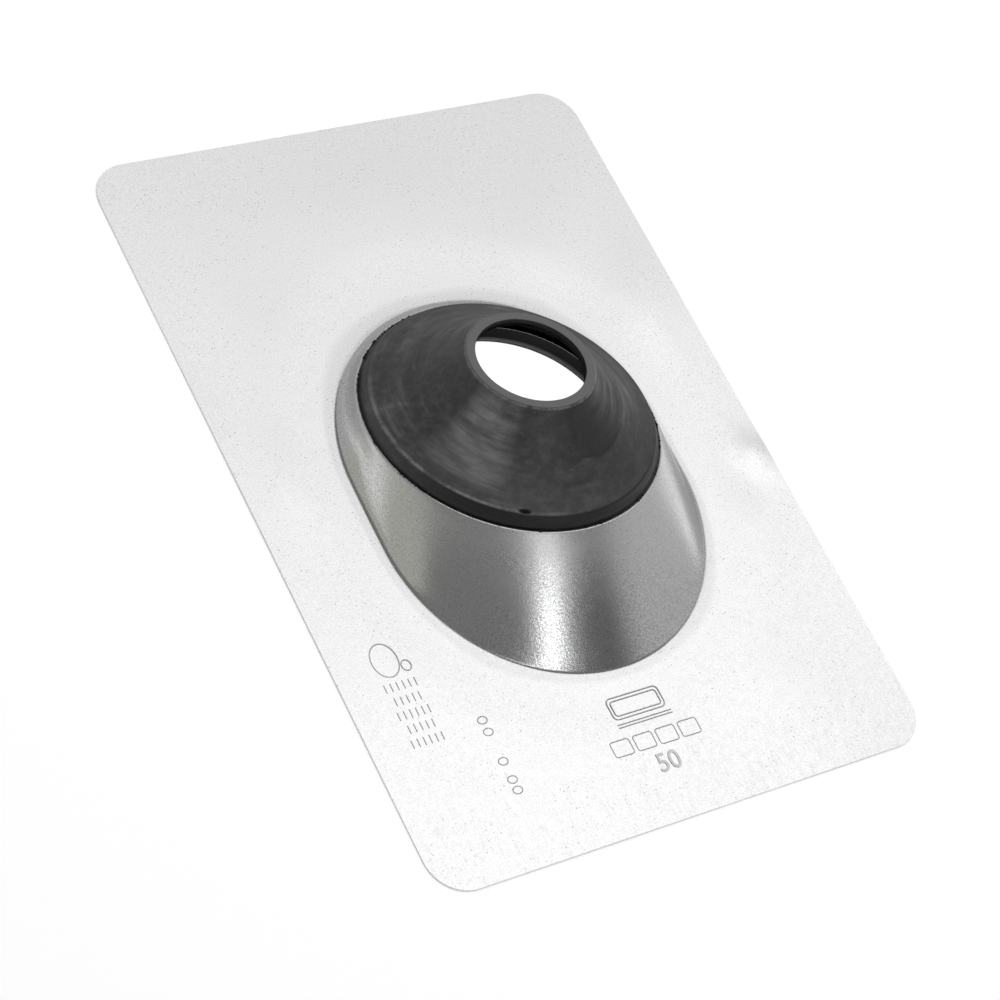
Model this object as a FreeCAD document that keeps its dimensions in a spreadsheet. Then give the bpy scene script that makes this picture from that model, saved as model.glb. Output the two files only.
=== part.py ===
import FreeCAD, Part
import Sketcher
import math
import os

# Pipe flashing boot: a pressed steel flashing and a moulded rubber collar.
# Millimetres, +Z up. The origin is the centre of the plate's underside, where it
# lies on the roof. +X runs across the roof and +Y points up its slope.

driving = {
    # steel plate
    "plateWidth": 228.6,
    "plateLength": 323.9,
    "cornerRadius": 15.9,
    "gauge": 0.5,
    # boss outline on the plate: two half circles joined by straight sides
    "bossRadius": 69.7,
    "bossFront": 28.0,
    "bossBack": 2.9,
    "bossFillet": 3.0,
    # tilted shelf on top of the boss, set in from its foot by how far the walls lean
    "shelfTilt": 12.0,
    "sideLean": 8.3,
    "backLean": 2.8,
    "backRise": 1.33,
    "shelfSide": 11.9,
    "shelfFillet": 1.2,
    # neck turned up from the shelf
    "neckBore": 40.0,
    "neckHeight": 8.5,
    "neckBend": 1.5,
    # rubber collar, heights above the shelf
    "hubGap": 0.15,
    "shelfLedge": 1.0,
    "rimLean": 2.6,
    "shoulderHeight": 4.6,
    "shoulderFillet": 1.2,
    "skirtArc": 72.0,
    "collarHeight": 30.6,
    "lipWidth": 3.5,
    "lipChamfer": 0.5,
    "pipeHole": 22.0,
    "pipeLand": 3.6,
    "throatGap": 0.9,
    "throatRise": 1.0,
}

# sizes that follow from the ones above
derived = {
    "shelfRadius": "bossRadius - sideLean",
    "shelfY": "bossBack + bossRadius - backLean - shelfRadius * cos(shelfTilt * 1 deg)",
    "shelfZ": "backRise + shelfRadius * sin(shelfTilt * 1 deg)",
    "collarRadius": "shelfRadius - shelfLedge",
    "shoulderRadius": "collarRadius - rimLean",
    "lipRadius": "pipeHole + lipWidth",
    "neckWall": "neckBore + gauge",
    "neckFoot": "neckWall + neckBend",
    "hubRadius": "neckWall + hubGap",
}

doc = FreeCAD.newDocument("pipe_flashing_boot")
sizes = doc.addObject("Spreadsheet::Sheet", "sizes")
entries = {alias: str(value) for alias, value in driving.items()}
entries.update({alias: "=" + formula for alias, formula in derived.items()})
for row, (alias, content) in enumerate(entries.items(), start=1):
    sizes.set("A%d" % row, alias)
    sizes.set("B%d" % row, content)
    sizes.setAlias("B%d" % row, alias)
doc.recompute()

acrossAxis = FreeCAD.Vector(1, 0, 0)
upAxis = FreeCAD.Vector(0, 0, 1)
closeness = 1e-3  # places nearer than this are the same


def amount(expression):
    # what an expression of the sheet comes to, in millimetres
    return float(sizes.evalExpression(expression))


def origin_plane(body, role):
    return next(item for item in body.Origin.OriginFeatures if item.Role == role)


def new_sketch(body, name, role, offset=None):
    # a sketch on one of the body's origin planes, shifted by sheet expressions
    sketch = body.newObject("Sketcher::SketchObject", name)
    sketch.AttachmentSupport = [(origin_plane(body, role), "")]
    sketch.MapMode = "FlatFace"
    for name, expression in (offset or {}).items():
        if name == "turn":
            axis, angle = expression
            turned = FreeCAD.Rotation(axis, amount(angle))
            sketch.AttachmentOffset = FreeCAD.Placement(FreeCAD.Vector(), turned)
            sketch.setExpression("AttachmentOffset.Rotation.Angle", "(%s) * 1 deg" % angle)
        else:
            sketch.setExpression("AttachmentOffset.Base." + name, expression)
    return sketch


def constrain(sketch, rules):
    # add every rule in one solve, then tie the named ones to their sheet expressions
    first = sketch.ConstraintCount
    sketch.addConstraint([rule for rule, name, expression in rules])
    for index, (rule, name, expression) in enumerate(rules, start=first):
        if name:
            sketch.renameConstraint(index, name)
            sketch.setExpression("Constraints." + name, expression)


def end_at(curve, place):
    # the sketcher's number for the end of a curve that lies at a place
    return 1 if (curve.StartPoint - place).Length < (curve.EndPoint - place).Length else 2


def pin_end(index, end, name, across, up):
    # rules that hold one end of a curve at two sheet expressions, from the origin
    rules = []
    for axis, expression in (("X", across), ("Y", up)):
        value = amount(expression)
        ends = (-1, 1, index, end)
        if value < 0:
            ends = (index, end, -1, 1)
            expression = "-(%s)" % expression
        rules.append((Sketcher.Constraint("Distance" + axis, *ends, abs(value)), name + axis, expression))
    return rules


def arc_between(start, end, radius):
    # the minor arc between two places, which bulges to the right where radius is positive
    chord = end - start
    depth = math.sqrt(max(radius ** 2 - (chord.Length / 2) ** 2, 0))
    left = FreeCAD.Vector(-chord.y, chord.x, 0).normalize()
    centre = (start + end) / 2 + left * math.copysign(depth, radius)
    angles = [math.atan2(place.y - centre.y, place.x - centre.x) for place in (start, end)]
    if radius < 0:
        angles.reverse()
    circle = Part.Circle(centre, upAxis, abs(radius))
    return Part.ArcOfCircle(circle, *angles)


def outline(sketch, corners):
    # A closed outline through named corners, each (name, across, up). A fourth value is
    # the radius of the arc to the next corner, positive where it bulges to the right.
    places = [FreeCAD.Vector(amount(item[1]), amount(item[2]), 0) for item in corners]
    for index, corner in enumerate(corners):
        start = places[index]
        end = places[(index + 1) % len(corners)]
        if len(corner) == 3:
            sketch.addGeometry(Part.LineSegment(start, end))
        else:
            sketch.addGeometry(arc_between(start, end, amount(corner[3])))
    curves = sketch.Geometry
    rules = []
    for index, corner in enumerate(corners):
        end = end_at(curves[index], places[index])
        before = (index - 1) % len(corners)
        endBefore = end_at(curves[before], places[index])
        rules.append((Sketcher.Constraint("Coincident", before, endBefore, index, end), None, None))
        rules += pin_end(index, end, *corner[:3])
        if len(corner) == 3:
            continue
        radius = abs(amount(corner[3]))
        chord = (curves[index].StartPoint - curves[index].EndPoint).Length
        if math.isclose(chord, 2 * radius):
            # a half circle has its centre level with its ends
            rules.append((Sketcher.Constraint("Horizontal", index, 3, index, end), None, None))
        else:
            rule = Sketcher.Constraint("Radius", index, radius)
            rules.append((rule, corner[0] + "Arc", "abs(%s)" % corner[3]))
    constrain(sketch, rules)


def edges_where(shape, test):
    return ["Edge%d" % number for number, edge in enumerate(shape.Edges, start=1) if test(edge)]


def dress_edges(body, kind, name, size, test):
    # a fillet or a chamfer, of a size that the sheet gives, on the edges that pass a test
    base = body.Tip
    feature = body.newObject("PartDesign::" + kind, name)
    feature.Base = (base, edges_where(base.Shape, test))
    feature.setExpression("Radius" if kind == "Fillet" else "Size", size)
    doc.recompute()


def revolve(body, name, sketch):
    feature = body.newObject("PartDesign::Revolution", name)
    feature.Profile = sketch
    feature.ReferenceAxis = (sketch, ["V_Axis"])
    doc.recompute()


def boss_corners(radius):
    # the boss outline, walked from the front end of its right-hand side
    return [
        ("rightFront", radius, "-sizes.bossFront"),
        ("rightBack", radius, "sizes.bossBack", radius),
        ("leftBack", "-(%s)" % radius, "sizes.bossBack"),
        ("leftFront", "-(%s)" % radius, "-sizes.bossFront", radius),
    ]


def shelf_corners(radius):
    # a full circle, walked in the same four steps as the boss outline
    across = "sqrt((%s)^2 - sizes.shelfSide^2)" % radius
    return [
        ("rightFront", across, "-sizes.shelfSide", radius),
        ("rightBack", across, "sizes.shelfSide", radius),
        ("leftBack", "-(%s)" % across, "sizes.shelfSide", radius),
        ("leftFront", "-(%s)" % across, "-sizes.shelfSide", radius),
    ]


def shelf_plane(drop):
    # offset of a sketch onto the tilted shelf, lowered square to it by an expression
    return {
        "turn": (acrossAxis, "-sizes.shelfTilt"),
        "y": "sizes.shelfY - (%s) * sin(sizes.shelfTilt * 1 deg)" % drop,
        "z": "sizes.shelfZ - (%s) * cos(sizes.shelfTilt * 1 deg)" % drop,
    }


def loft(body, kind, name, lower, upper):
    feature = body.newObject("PartDesign::" + kind, name)
    feature.Profile = lower
    feature.Sections = [upper]
    feature.Ruled = True
    doc.recompute()


# --- steel flashing: plate, boss, shelf and neck pressed from one sheet ---

steel = doc.addObject("PartDesign::Body", "steel_flashing")

plate = new_sketch(steel, "plateOutline", "XY_Plane")
halfX = "sizes.plateWidth / 2"
halfY = "sizes.plateLength / 2"
nearX = "(sizes.plateWidth / 2 - sizes.cornerRadius)"
nearY = "(sizes.plateLength / 2 - sizes.cornerRadius)"
corner = "sizes.cornerRadius"
outline(plate, [
    ("rightFront", halfX, "-" + nearY),
    ("rightBack", halfX, nearY, corner),
    ("backRight", nearX, halfY),
    ("backLeft", "-" + nearX, halfY, corner),
    ("leftBack", "-" + halfX, nearY),
    ("leftFront", "-" + halfX, "-" + nearY, corner),
    ("frontLeft", "-" + nearX, "-" + halfY),
    ("frontRight", nearX, "-" + halfY, corner),
])
sheet = steel.newObject("PartDesign::Pad", "plate")
sheet.Profile = plate
sheet.setExpression("Length", "sizes.gauge")
doc.recompute()

bossFoot = new_sketch(steel, "bossOutline", "XY_Plane", {"z": "sizes.gauge"})
outline(bossFoot, boss_corners("sizes.bossRadius"))
bossTop = new_sketch(steel, "shelfOutline", "XY_Plane", shelf_plane("0"))
outline(bossTop, shelf_corners("sizes.shelfRadius"))
doc.recompute()
loft(steel, "AdditiveLoft", "boss", bossFoot, bossTop)

hollowFoot = new_sketch(steel, "hollowOutline", "XY_Plane")
outline(hollowFoot, boss_corners("sizes.bossRadius - sizes.gauge / 2"))
hollowTop = new_sketch(steel, "hollowTop", "XY_Plane", shelf_plane("sizes.gauge"))
outline(hollowTop, shelf_corners("sizes.shelfRadius - sizes.gauge / 2"))
doc.recompute()
loft(steel, "SubtractiveLoft", "hollow", hollowFoot, hollowTop)

toShelf = FreeCAD.Placement(
    FreeCAD.Vector(0, amount("shelfY"), amount("shelfZ")),
    FreeCAD.Rotation(acrossAxis, -amount("shelfTilt")),
).inverse()


def on_boss_outline(height, inset):
    # edges of the boss's foot at a height over the roof
    reach = amount("bossRadius") - inset

    def test(edge):
        level = all(abs(vertex.Z - height) < closeness for vertex in edge.Vertexes)
        return level and all(abs(abs(vertex.X) - reach) < closeness for vertex in edge.Vertexes)

    return test


def on_shelf_circle(drop, inset):
    # edges round the shelf's rim, on a plane that much below its top
    reach = amount("shelfRadius") - inset

    def test(edge):
        places = [toShelf.multVec(vertex.Point) for vertex in edge.Vertexes]
        level = all(abs(place.z + drop) < closeness for place in places)
        return level and all(abs(math.hypot(place.x, place.y) - reach) < closeness for place in places)

    return test


gauge = amount("gauge")
dress_edges(steel, "Fillet", "footBend", "sizes.bossFillet", on_boss_outline(gauge, 0))
dress_edges(steel, "Fillet", "footBendUnder", "sizes.bossFillet + sizes.gauge", on_boss_outline(0, gauge / 2))
underShelf = on_shelf_circle(gauge, gauge / 2)
dress_edges(steel, "Fillet", "shelfBendUnder", "sizes.shelfFillet - sizes.gauge", underShelf)
dress_edges(steel, "Fillet", "shelfBend", "sizes.shelfFillet", on_shelf_circle(0, 0))

eyelet = new_sketch(steel, "eyelet", "XY_Plane", shelf_plane("0"))
circle = eyelet.addGeometry(Part.Circle(FreeCAD.Vector(), upAxis, amount("neckFoot")))
constrain(eyelet, [
    (Sketcher.Constraint("Coincident", circle, 3, -1, 1), None, None),
    (Sketcher.Constraint("Radius", circle, amount("neckFoot")), "bore", "sizes.neckFoot"),
])
doc.recompute()
opening = steel.newObject("PartDesign::Pocket", "eyeletOpening")
opening.Profile = eyelet
opening.Midplane = True
opening.setExpression("Length", "2 * (sizes.gauge + sizes.neckBend)")
doc.recompute()

# the neck's section stands in the plane of symmetry, on the tilted axis, and
# runs on over the shelf by its own bend to join it
neckPlane = {
    "turn": (upAxis, "-sizes.shelfTilt"),
    "x": "sizes.shelfY",
    "y": "sizes.shelfZ",
}
neck = new_sketch(steel, "neckSection", "YZ_Plane", neckPlane)
outline(neck, [
    ("boreTop", "sizes.neckBore", "sizes.neckHeight"),
    ("boreFoot", "sizes.neckBore", "sizes.neckBend", "sizes.neckBend + sizes.gauge"),
    ("underBend", "sizes.neckFoot", "-sizes.gauge"),
    ("underLap", "sizes.neckFoot + sizes.neckBend", "-sizes.gauge"),
    ("topLap", "sizes.neckFoot + sizes.neckBend", "0"),
    ("topBend", "sizes.neckFoot", "0", "-sizes.neckBend"),
    ("wallFoot", "sizes.neckWall", "sizes.neckBend"),
    ("wallTop", "sizes.neckWall", "sizes.neckHeight"),
])
doc.recompute()
revolve(steel, "neck", neck)

# --- rubber collar: one moulding, turned about the shelf's axis ---

collar = doc.addObject("PartDesign::Body", "rubber_collar")
collar.Placement = FreeCAD.Placement(FreeCAD.Vector(), FreeCAD.Rotation(acrossAxis, -amount("shelfTilt")))
collar.setExpression("Placement.Base.y", "sizes.shelfY")
collar.setExpression("Placement.Base.z", "sizes.shelfZ")
collar.setExpression("Placement.Rotation.Angle", "-sizes.shelfTilt * 1 deg")

section = new_sketch(collar, "collarSection", "XZ_Plane")
outline(section, [
    ("footInner", "sizes.hubRadius + sizes.neckBend", "0"),
    ("footOuter", "sizes.collarRadius", "0"),
    ("shoulder", "sizes.shoulderRadius", "sizes.shoulderHeight", "-sizes.skirtArc"),
    ("lipOuter", "sizes.lipRadius", "sizes.collarHeight"),
    ("lipInner", "sizes.pipeHole", "sizes.collarHeight"),
    ("landFoot", "sizes.pipeHole", "sizes.collarHeight - sizes.pipeLand"),
    ("throatFoot", "sizes.hubRadius + sizes.throatGap", "sizes.neckHeight + sizes.throatRise"),
    ("hubTop", "sizes.hubRadius", "sizes.neckHeight - sizes.throatRise"),
    ("hubFoot", "sizes.hubRadius", "sizes.neckBend"),
])
doc.recompute()
revolve(collar, "moulding", section)


def on_ring(radius, height):
    # a full circle of the moulding, by its radius and height
    def test(edge):
        if not isinstance(edge.Curve, Part.Circle):
            return False
        sameRadius = abs(edge.Curve.Radius - amount(radius)) < closeness
        return sameRadius and abs(edge.Curve.Center.z - amount(height)) < closeness

    return test


shoulderRing = on_ring("shoulderRadius", "shoulderHeight")
dress_edges(collar, "Fillet", "shoulderRound", "sizes.shoulderFillet", shoulderRing)
dress_edges(collar, "Chamfer", "lipEdge", "sizes.lipChamfer", on_ring("lipRadius", "collarHeight"))

doc.recompute()
for item in doc.Objects:
    if "Invalid" in item.State or "Error" in item.State:
        raise RuntimeError("%s failed" % item.Name)
os.makedirs("parts", exist_ok=True)
for body in (steel, collar):
    if body.Shape.isNull() or not body.Shape.isValid() or len(body.Shape.Solids) != 1:
        raise RuntimeError("%s is not one valid solid" % body.Label)
    body.Shape.exportStep("parts/%s.step" % body.Label)
    print(body.Label, round(body.Shape.Volume), "mm3", body.Shape.BoundBox)
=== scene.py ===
import bmesh
import bpy
import math
from mathutils import Matrix, Vector, noise


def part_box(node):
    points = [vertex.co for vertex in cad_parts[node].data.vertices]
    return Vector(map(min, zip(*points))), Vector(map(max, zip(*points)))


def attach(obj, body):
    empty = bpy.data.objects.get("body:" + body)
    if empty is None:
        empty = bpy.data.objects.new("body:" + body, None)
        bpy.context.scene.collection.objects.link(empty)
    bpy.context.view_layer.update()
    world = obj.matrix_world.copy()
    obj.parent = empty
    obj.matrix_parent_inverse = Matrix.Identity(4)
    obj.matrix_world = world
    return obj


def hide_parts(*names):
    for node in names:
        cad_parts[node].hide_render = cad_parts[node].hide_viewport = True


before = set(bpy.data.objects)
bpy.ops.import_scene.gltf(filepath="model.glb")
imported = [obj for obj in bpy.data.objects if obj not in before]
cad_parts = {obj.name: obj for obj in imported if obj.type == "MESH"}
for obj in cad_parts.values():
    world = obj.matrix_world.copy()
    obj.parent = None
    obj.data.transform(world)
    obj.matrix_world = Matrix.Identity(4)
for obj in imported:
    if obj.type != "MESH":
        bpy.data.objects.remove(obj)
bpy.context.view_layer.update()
mm = 0.001
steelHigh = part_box("steel_flashing")[1]

# Pipe flashing boot, at rest on the floor with the roof's upslope side towards +Y.

# what the boss, its shelf and the collar share
boot = {
    "tilt": math.radians(12),  # of the shelf and the collar's axis
    "bossRadius": 69.7 * mm,
    "bossFront": -28.0 * mm,  # centres of the outline's two half circles
    "bossBack": 2.9 * mm,
    "sideLean": 8.3 * mm,
    "backLean": 2.8 * mm,
    "backRise": 1.33 * mm,
    "gauge": 0.5 * mm,
}
boot["shelfRadius"] = boot["bossRadius"] - boot["sideLean"]
boot["shelfY"] = (boot["bossBack"] + boot["bossRadius"] - boot["backLean"]
                  - boot["shelfRadius"] * math.cos(boot["tilt"]))
boot["shelfZ"] = boot["backRise"] + boot["shelfRadius"] * math.sin(boot["tilt"])


def onShelf(across, along, height):
    # a place given on the tilted shelf, in the frame's axes
    tilt = boot["tilt"]
    y = boot["shelfY"] + along * math.cos(tilt) + height * math.sin(tilt)
    z = boot["shelfZ"] - along * math.sin(tilt) + height * math.cos(tilt)
    return Vector((across, y, z))


def clamp(value):
    return min(max(value, 0), 1)


def addObject(name, data):
    piece = bpy.data.objects.new(name, data)
    bpy.context.scene.collection.objects.link(piece)
    return piece


def finishedMesh(piece, name):
    # the object's mesh as its modifiers leave it
    graph = bpy.context.evaluated_depsgraph_get()
    mesh = bpy.data.meshes.new_from_object(piece.evaluated_get(graph), depsgraph=graph)
    mesh.name = name
    return mesh


# --- node helpers ---


def feed(tree, node, inputs):
    # a link where a value is a socket, and a plain setting where it isn't
    for name, value in inputs.items():
        if isinstance(value, bpy.types.NodeSocket):
            tree.links.new(value, node.inputs[name])
        else:
            node.inputs[name].default_value = value


def addNode(tree, kind, inputs=None, **settings):
    # the outputs of a new node, with its settings and then its inputs filled in
    node = tree.nodes.new(kind)
    for name, value in settings.items():
        setattr(node, name, value)
    feed(tree, node, inputs or {})
    return node.outputs


def mathNode(tree, operation, *values, clamped=False):
    inputs = dict(enumerate(values))
    return addNode(tree, "ShaderNodeMath", inputs, operation=operation, use_clamp=clamped)[0]


def times(tree, first, *others):
    # the product of sockets and numbers
    for other in others:
        first = mathNode(tree, "MULTIPLY", first, other)
    return first


def mixIn(tree, value, amount, base, clamped=False):
    # the base with an amount of the value added
    return mathNode(tree, "MULTIPLY_ADD", value, amount, base, clamped=clamped)


def vectorNode(tree, operation, first, second=None):
    inputs = {0: first}
    if second is not None:
        inputs["Scale" if operation == "SCALE" else 1] = second
    outputs = addNode(tree, "ShaderNodeVectorMath", inputs, operation=operation)
    return outputs["Value" if operation in ("LENGTH", "DOT_PRODUCT") else "Vector"]


def parted(tree, vector):
    # the X, Y and Z of a vector
    return addNode(tree, "ShaderNodeSeparateXYZ", {0: vector})[:]


def joined(tree, x, y, z):
    return addNode(tree, "ShaderNodeCombineXYZ", {"X": x, "Y": y, "Z": z})[0]


def ramp(tree, value, low, high, toLow=0.0, toHigh=1.0):
    return addNode(tree, "ShaderNodeMapRange", {
        "Value": value, "From Min": low, "From Max": high, "To Min": toLow, "To Max": toHigh,
    }, interpolation_type="SMOOTHSTEP")["Result"]


def blendColour(tree, factor, first, second):
    return addNode(tree, "ShaderNodeMix", {0: factor, 6: first, 7: second}, data_type="RGBA")[2]


def noiseNode(tree, vector, scale, detail, roughness):
    return addNode(tree, "ShaderNodeTexNoise", {
        "Vector": vector, "Scale": scale, "Detail": detail, "Roughness": roughness,
    })["Fac"]


def stretch(tree, vector, scale=(1, 1, 1), turn=(0, 0, 0), shift=(0, 0, 0)):
    # a place scaled, then turned, then shifted
    return addNode(tree, "ShaderNodeMapping", {
        "Vector": vector, "Location": shift, "Rotation": turn, "Scale": scale,
    })["Vector"]


def attribute(tree, name):
    return addNode(tree, "ShaderNodeAttribute", attribute_name=name)["Fac"]


def objectPlace(tree):
    return addNode(tree, "ShaderNodeTexCoord")["Object"]


def bumped(tree, height, strength, distance):
    # the normal that a height gives
    return addNode(tree, "ShaderNodeBump", {
        "Strength": strength, "Distance": distance, "Height": height,
    })["Normal"]


def newMaterial(name):
    material = bpy.data.materials.new(name)
    material.use_nodes = True
    tree = material.node_tree
    return material, tree, tree.nodes["Principled BSDF"]


def addSockets(tree, direction, sockets):
    # the sockets of a group, each given by its kind or, for a number, by its default
    for label, value in sockets.items():
        kind = {float: "Float", int: "Int"}.get(type(value), value)
        socket = tree.interface.new_socket(name=label, in_out=direction,
                                           socket_type="NodeSocket" + kind)
        if kind != value:
            socket.default_value = value


def newGroup(name, inputs, outputs=("Mask",)):
    # a shader group, what comes into it, and the node that ends it
    group = bpy.data.node_groups.new(name, "ShaderNodeTree")
    addSockets(group, "INPUT", inputs)
    addSockets(group, "OUTPUT", dict.fromkeys(outputs, "Float"))
    return group, addNode(group, "NodeGroupInput"), group.nodes.new("NodeGroupOutput")


def useGroup(tree, group, inputs):
    return addNode(tree, "ShaderNodeGroup", inputs, node_tree=group)


# --- effects that several materials share ---


def makeGrain():
    # uneven skin of a rolled or moulded surface, as a height and a soft mask
    group, given, end = newGroup("skinGrain", {"Vector": "Vector", "Size": 900.0, "Coarse": 0.5},
                                 ("Height", "Mask"))
    fine = noiseNode(group, given["Vector"], given["Size"], 3.0, 0.6)
    wide = noiseNode(group, given["Vector"], times(group, given["Size"], 0.23), 2.0, 0.5)
    height = mixIn(group, wide, given["Coarse"], fine)
    feed(group, end, {"Height": height, "Mask": ramp(group, wide, 0.35, 0.65)})
    return group


def makeSpecks():
    # small separate marks, as a mask
    group, given, end = newGroup("smallSpecks", {
        "Vector": "Vector", "Size": 500.0, "Share": 0.2, "Spread": 0.3,
    })
    cells = addNode(group, "ShaderNodeTexVoronoi", {
        "Vector": given["Vector"], "Scale": given["Size"],
    }, feature="F1")
    core = times(group, given["Spread"], 0.6)
    dot = ramp(group, cells["Distance"], given["Spread"], core)
    chance, depth = addNode(group, "ShaderNodeSeparateColor", {0: cells["Color"]})[:2]
    chosen = mathNode(group, "LESS_THAN", chance, given["Share"])
    feed(group, end, {"Mask": times(group, dot, depth, chosen)})
    return group


def makeDust():
    # patches of dust or bloom that break up at their edges, as a mask
    group, given, end = newGroup("paleDust", {"Vector": "Vector", "Patch Size": 40.0, "Cover": 0.5})
    patches = noiseNode(group, given["Vector"], given["Patch Size"], 5.0, 0.62)
    level = mathNode(group, "SUBTRACT", 1.0, given["Cover"])
    top = mathNode(group, "ADD", level, 0.22)
    feed(group, end, {"Mask": ramp(group, patches, level, top)})
    return group


grainGroup = makeGrain()
speckGroup = makeSpecks()
dustGroup = makeDust()

# --- steel ---

steelLook = {
    "colour": (0.82, 0.825, 0.82, 1),
    "dull": (0.42, 0.43, 0.43, 1),  # in the specks, the rolling lines and the dark grains
    # painted shade, dark in the foot's bend, under the rubber's edge and in the neck
    "shadeColour": (0.03, 0.03, 0.031, 1),  # in the seam under the rubber's edge
    "plateRough": 0.22,
    "wallRough": 0.14,
    "grainRough": 0.02,  # these three are added where their effect is
    "markRough": 0.10,
    "wornRough": 0.14,
    "grainSize": 1400.0,  # sizes are the scales of textures, so a larger one is finer
    "grainCoarse": 0.15,
    "speckSize": 780.0,
    "speckShare": 0.50,
    "speckSpread": 0.28,
    "speckCloud": 45.0,
    "speckDull": 0.9,
    "lineSize": (760, 90, 90),
    "lineStart": -0.115,  # below this the rolling lines show more and more
    "lineFull": -0.158,
    "lineDull": 0.13,
    "spangleSize": 1350.0,
    "spangleStart": -0.058,  # from here forward the wall's spangle grows
    "spangleFull": -0.080,
    "spangleLeast": 0.45,
    "spangleDull": 0.50,
    "fineSize": 1900.0,
    "fineDull": 0.19,
    "hazeSize": 14.0,
    "hazeCover": 0.5,
    "hazeDull": 0.04,
    "crinkleSize": (560, 60, 60),
    "crinkleHeight": 0.7,
    "plateBump": 0.06,
    "wallBump": 0.24,
    "bumpDistance": 0.1 * mm,
}


def steelMarks(tree, look, place, wall, spangle):
    # specks, rolling lines, spangle and haze as one mask of how dull the sheet is
    specks = useGroup(tree, speckGroup, {
        "Vector": place, "Size": look["speckSize"],
        "Share": look["speckShare"], "Spread": look["speckSpread"],
    })["Mask"]
    # the specks gather in loose clouds and thin out between them
    clouds = ramp(tree, noiseNode(tree, place, look["speckCloud"], 3.0, 0.6), 0.40, 0.62, 0.30)
    specks = times(tree, specks, clouds, look["speckDull"])
    # fine rolling marks along the sheet, clearest towards its lower edge
    along = parted(tree, place)[1]
    lines = noiseNode(tree, stretch(tree, place, look["lineSize"]), 1.0, 3.0, 0.6)
    lower = ramp(tree, along, look["lineStart"], look["lineFull"])
    lines = times(tree, ramp(tree, lines, 0.50, 0.72), lower, look["lineDull"])
    # the wall's spangle, light and dark grains, strongest where it was drawn most
    drawn = ramp(tree, along, look["spangleStart"], look["spangleFull"], look["spangleLeast"])
    grains = times(tree, ramp(tree, spangle, 0.45, 0.57), wall, drawn)
    fine = ramp(tree, noiseNode(tree, place, look["fineSize"], 1.0, 0.5), 0.35, 0.65)
    haze = useGroup(tree, dustGroup, {
        "Vector": place, "Patch Size": look["hazeSize"], "Cover": look["hazeCover"],
    })
    marks = mathNode(tree, "MAXIMUM", specks, lines)
    marks = mixIn(tree, grains, look["spangleDull"], marks)
    marks = mixIn(tree, fine, look["fineDull"], marks)
    return mixIn(tree, haze["Mask"], look["hazeDull"], marks, clamped=True)


def makeSteel(name, look):
    material, tree, shader = newMaterial(name)
    place = objectPlace(tree)
    wall = attribute(tree, "wall")
    spangle = noiseNode(tree, place, look["spangleSize"], 2.0, 0.75)
    marks = steelMarks(tree, look, place, wall, spangle)
    colour = blendColour(tree, marks, look["colour"], look["dull"])
    # painted shade darkens the sheet in the foot's bend, under the rubber's edge and in the neck
    colour = blendColour(tree, attribute(tree, "paintedShade"), colour, look["shadeColour"])
    grain = useGroup(tree, grainGroup, {
        "Vector": place, "Size": look["grainSize"], "Coarse": look["grainCoarse"],
    })
    rough = ramp(tree, wall, 0.0, 1.0, look["plateRough"], look["wallRough"])
    rough = mixIn(tree, grain["Mask"], look["grainRough"], rough)
    rough = mixIn(tree, marks, look["markRough"], rough)
    # the draw has dulled the wall's upper part
    rough = mixIn(tree, attribute(tree, "worn"), look["wornRough"], rough)
    # upright crinkles low on the front of the wall, over the skin of the sheet
    skin = mixIn(tree, spangle, wall, grain["Height"])
    crinkles = noiseNode(tree, stretch(tree, place, look["crinkleSize"]), 1.0, 2.0, 0.5)
    low = times(tree, attribute(tree, "crinkle"), look["crinkleHeight"])
    strength = ramp(tree, wall, 0.0, 1.0, look["plateBump"], look["wallBump"])
    normal = bumped(tree, mixIn(tree, crinkles, low, skin), strength, look["bumpDistance"])
    feed(tree, shader, {"Base Color": colour, "Metallic": 1.0, "Roughness": rough, "Normal": normal})
    return material


steel = makeSteel("galvanisedSheet", steelLook)
print("steel material made")

# --- steel flashing: plate, boss, shelf and neck as one pressed sheet ---

sheet = {
    "cornerRadius": 15.9 * mm,
    "footBend": 3.0 * mm,
    "shelfBend": 1.2 * mm,
    "shelfSide": 11.9 * mm,
    "neckWall": 40.5 * mm,
    "neckBend": 1.5 * mm,
    "neckRings": (3.4 * mm, 5.0 * mm, 6.8 * mm, 8.1 * mm, 8.5 * mm),  # heights over the shelf
    "halfAround": 264,  # points round each half circle of the boss
    "alongSide": 24,  # points along each straight side
    "plateRings": 30,
    "bendSteps": 6,
    "wallRings": 10,
    "shelfRings": 6,
    "neckSteps": 5,
    "edgeClear": 0.02 * mm,
    "sharp": math.radians(40),  # edges that turn by more than this are sharp
    "lift": 0.30 * mm,  # of the plate over the floor, before its waves
    "unevenness": 0.16 * mm,
    "unevenSize": (16, 12),
    "fadeReach": 34 * mm,  # the waves die out over this distance towards the boss
    # how dark the painted shade is in the foot's bend, under the rubber's edge and in the neck
    "footShade": 0.11,
    "shelfShade": 0.92,
    "neckShade": 0.96,
    "crinkleStart": -55 * mm,  # forward of this the wall's foot has crinkles
    "crinkleBlend": 20 * mm,
    "wornStart": 0.35,  # shares of the wall's height
    "wornBlend": 0.55,
}

# soft waves pressed or knocked into the plate, in millimetres and degrees: place, reach along
# X and Y, turn, height
dents = [
    (-92, 14, 13, 24, -14, 0.50),
    (-74, 60, 22, 46, 20, 0.30),
    (96, 52, 15, 30, -20, 0.55),
    (70, 96, 20, 40, -30, 0.34),
    (-20, 122, 60, 26, 5, 0.30),
    (108, -27, 8, 9, 20, 0.75),
    (97, -37, 10, 12, 0, -0.25),
    (20, -128, 70, 14, 0, 0.12),
    (-92, -62, 18, 40, 8, 0.18),
    (60, -118, 24, 18, -20, 0.16),
]


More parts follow.
